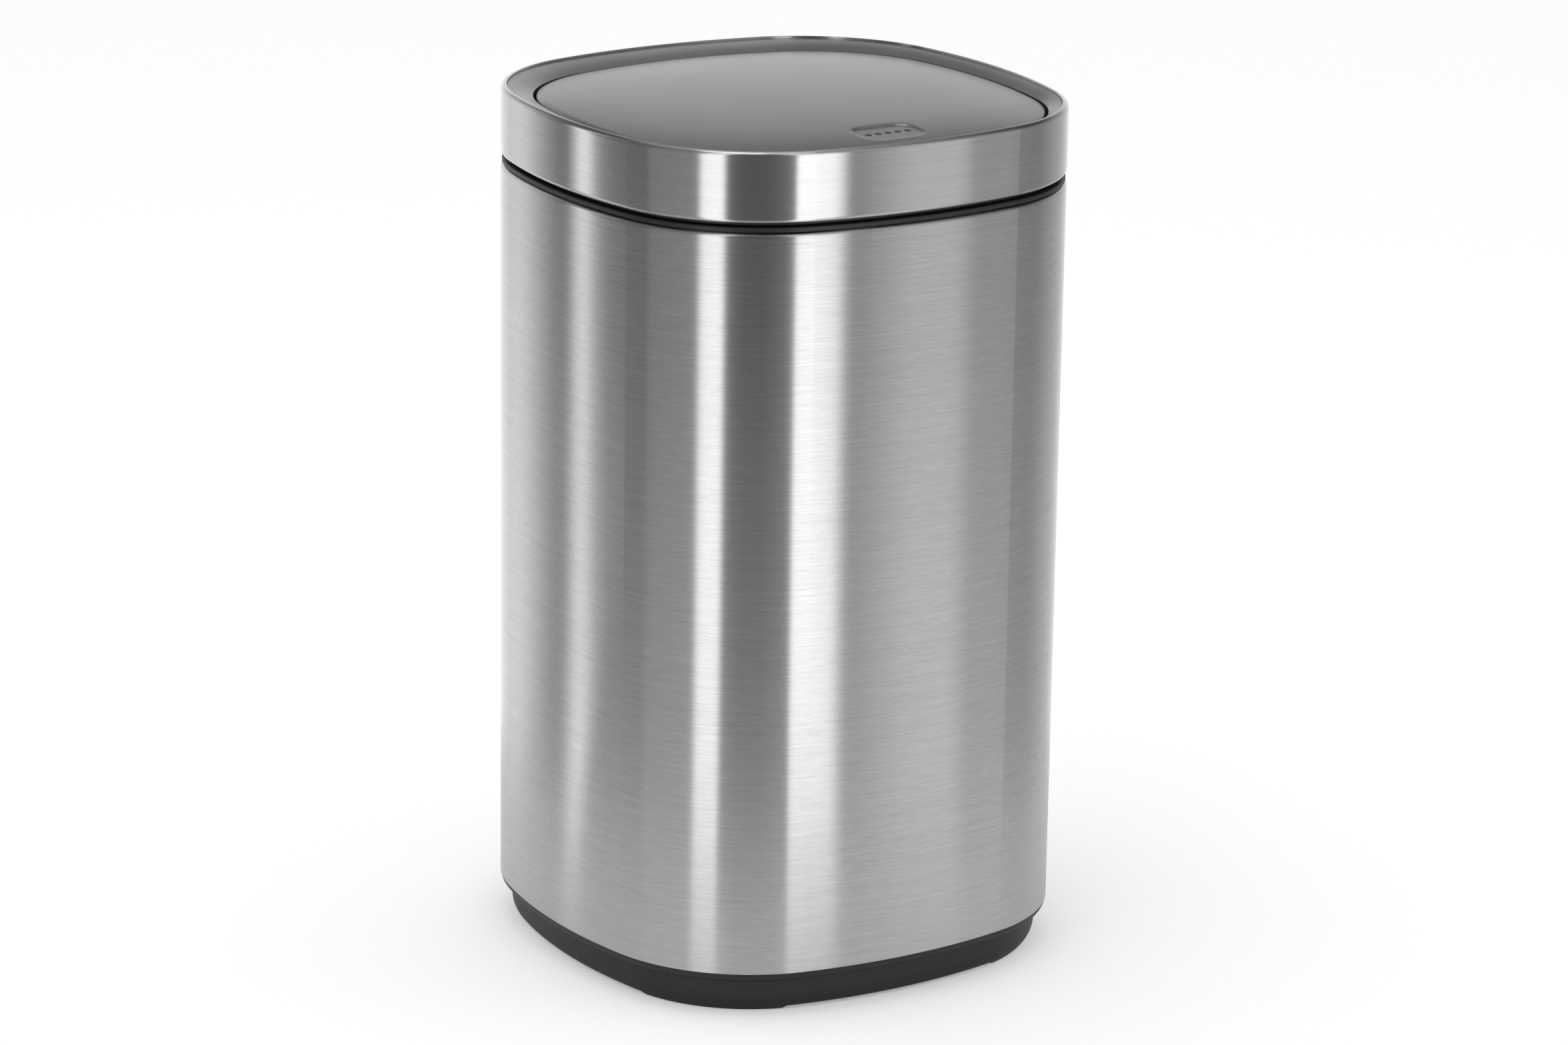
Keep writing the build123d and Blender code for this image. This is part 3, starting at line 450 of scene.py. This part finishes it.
# Five plain round marks on the press pad
marks = bmesh.new()
for place in range(-2, 3):
    middle = pad_middle + Vector((place * mark_pitch, 0))
    round_mark = bmesh.ops.create_cone(
        marks,
        cap_ends=True,
        segments=48,
        radius1=mark_radius,
        radius2=mark_radius * mark_taper,
        depth=2 * mark_height,
    )
    for vert in round_mark["verts"]:
        spot = middle + vert.co.xy
        vert.co = (*spot, floor_height(spot) + vert.co.z)
mark_mesh = bpy.data.meshes.new("pad_marks")
marks.to_mesh(mark_mesh)
marks.free()
add_piece("pad_marks", mark_mesh, "lid_plastic")

# Floor
floor_corners = [(floor_half * x, floor_half * y, 0) for x, y in ((-1, -1), (1, -1), (1, 1), (-1, 1))]
floor_mesh = bpy.data.meshes.new("floor")
floor_mesh.from_pydata(floor_corners, [], [(0, 1, 2, 3)])
floor = add_object("floor", floor_mesh)
floor_material, tree = empty_material("floor")
paper = add_node(tree, "ShaderNodeBsdfDiffuse", Color=(0.86, 0.86, 0.86, 1.0))
glow = add_node(tree, "ShaderNodeEmission", Color=(1.0, 1.0, 1.0, 1.0), Strength=floor_glow)
both = add_node(tree, "ShaderNodeAddShader")
tree.links.new(paper.outputs[0], both.inputs[0])
tree.links.new(glow.outputs[0], both.inputs[1])
path = add_node(tree, "ShaderNodeLightPath")
pick = add_node(tree, "ShaderNodeMixShader", Fac=path.outputs["Is Camera Ray"])
tree.links.new(paper.outputs[0], pick.inputs[1])
tree.links.new(both.outputs[0], pick.inputs[2])
add_output(tree, "ShaderNodeOutputMaterial", pick.outputs[0])
floor_mesh.materials.append(floor_material)

# Light tent
tent_mesh = bpy.data.meshes.new("light_tent")
ring = [
    (tent_radius * cos(2 * pi * k / tent_sides), tent_radius * sin(2 * pi * k / tent_sides))
    for k in range(tent_sides)
]
points = [(x, y, tent_foot) for x, y in ring] + [(x, y, tent_height) for x, y in ring]
quads = [
    (k, (k + 1) % tent_sides, tent_sides + (k + 1) % tent_sides, tent_sides + k) for k in range(tent_sides)
]
tent_mesh.from_pydata(points, [], quads)
tent = add_object("light_tent", tent_mesh)
tent.visible_camera = False
tent.visible_diffuse = False
tent.visible_shadow = False
tent.visible_transmission = False
tent_material, tree = empty_material("light_tent")
place = add_node(tree, "ShaderNodeTexCoord").outputs["Object"]
compass = add_node(tree, "ShaderNodeTexGradient", {"gradient_type": "RADIAL"}, Vector=place).outputs["Fac"]


def heading(degrees_from_front):
    """Place on the tent's ramp of a compass direction, counted from the front towards +X."""
    return ((degrees_from_front - 90) / 360 + 0.5) % 1.0


def up_the_tent(stops):
    """Ramp by height through (height, grey) stops."""
    return add_ramp(tree, share_of_height, [(height / tent_height, grey) for height, grey in stops])


def round_the_tent(stops):
    """Ramp by compass direction through (heading, grey) stops."""
    return add_ramp(tree, compass, sorted((heading(where), grey) for where, grey in stops))


height = add_node(tree, "ShaderNodeSeparateXYZ", Vector=place).outputs["Z"]
share_of_height = add_math(tree, "DIVIDE", height, tent_height)
near_fade, far_fade = up_the_tent(tent_near_fade), up_the_tent(tent_far_fade)
fade = add_mix(tree, near_fade, far_fade, factor=round_the_tent(tent_far_side))
faded = add_mix(tree, round_the_tent(tent_greys), fade, "MULTIPLY")
lifted = add_mix(tree, faded, up_the_tent(tent_lift), "ADD")
glow = add_node(tree, "ShaderNodeEmission", Color=lifted)
add_output(tree, "ShaderNodeOutputMaterial", glow.outputs[0])
tent_mesh.materials.append(tent_material)

# Soft lamps
def add_lamp(name, place, size, power):
    """Square area lamp that faces the bin."""
    data = bpy.data.lights.new(name, "AREA")
    data.shape = "SQUARE"
    data.size = size
    data.energy = power
    lamp = add_object(name, data)
    lamp.location = place
    lamp.rotation_euler = (lamp_target - Vector(place)).to_track_quat("-Z", "Y").to_euler()


add_lamp("top_lamp", (-0.6, 0.3, 2.6), 1.6, 7)
add_lamp("left_lamp", (-2.4, -1.6, 1.7), 1.4, 6)
add_lamp("right_lamp", (2.3, -1.8, 1.5), 1.4, 5)

# World
world = bpy.data.worlds.new("world")
bpy.context.scene.world = world
world.use_nodes = True
tree = world.node_tree
tree.nodes.clear()
path = add_node(tree, "ShaderNodeLightPath")
seen = add_math(tree, "MAXIMUM", path.outputs["Is Camera Ray"], path.outputs["Is Glossy Ray"])
seen = add_math(tree, "MAXIMUM", seen, path.outputs["Is Transmission Ray"])
strength = add_node(tree, "ShaderNodeMapRange", Value=seen, To_Min=sky_light, To_Max=sky_seen)
sky = add_node(
    tree, "ShaderNodeBackground", Color=(1.0, 1.0, 1.0, 1.0), Strength=strength.outputs["Result"]
)
add_output(tree, "ShaderNodeOutputWorld", sky.outputs[0])

# Camera
back = Vector(
    (
        sin(view_azimuth) * cos(view_elevation),
        -cos(view_azimuth) * cos(view_elevation),
        sin(view_elevation),
    )
)
level_right = (-back).cross(Vector((0, 0, 1))).normalized()
level_up = level_right.cross(-back)
rolled_right = cos(view_roll) * level_right + sin(view_roll) * level_up
rolled_up = -sin(view_roll) * level_right + cos(view_roll) * level_up
camera_data = bpy.data.cameras.new("camera")
camera_data.sensor_width = sensor_width
camera_data.lens = lens
camera_data.shift_x = shift_x
camera_data.shift_y = shift_y
camera = add_object("camera", camera_data)
turn = Matrix((rolled_right, rolled_up, back)).transposed().to_4x4()
camera.matrix_world = Matrix.Translation(view_target + view_distance * back) @ turn
bpy.context.scene.camera = camera
bpy.context.scene.view_settings.view_transform = "Standard"
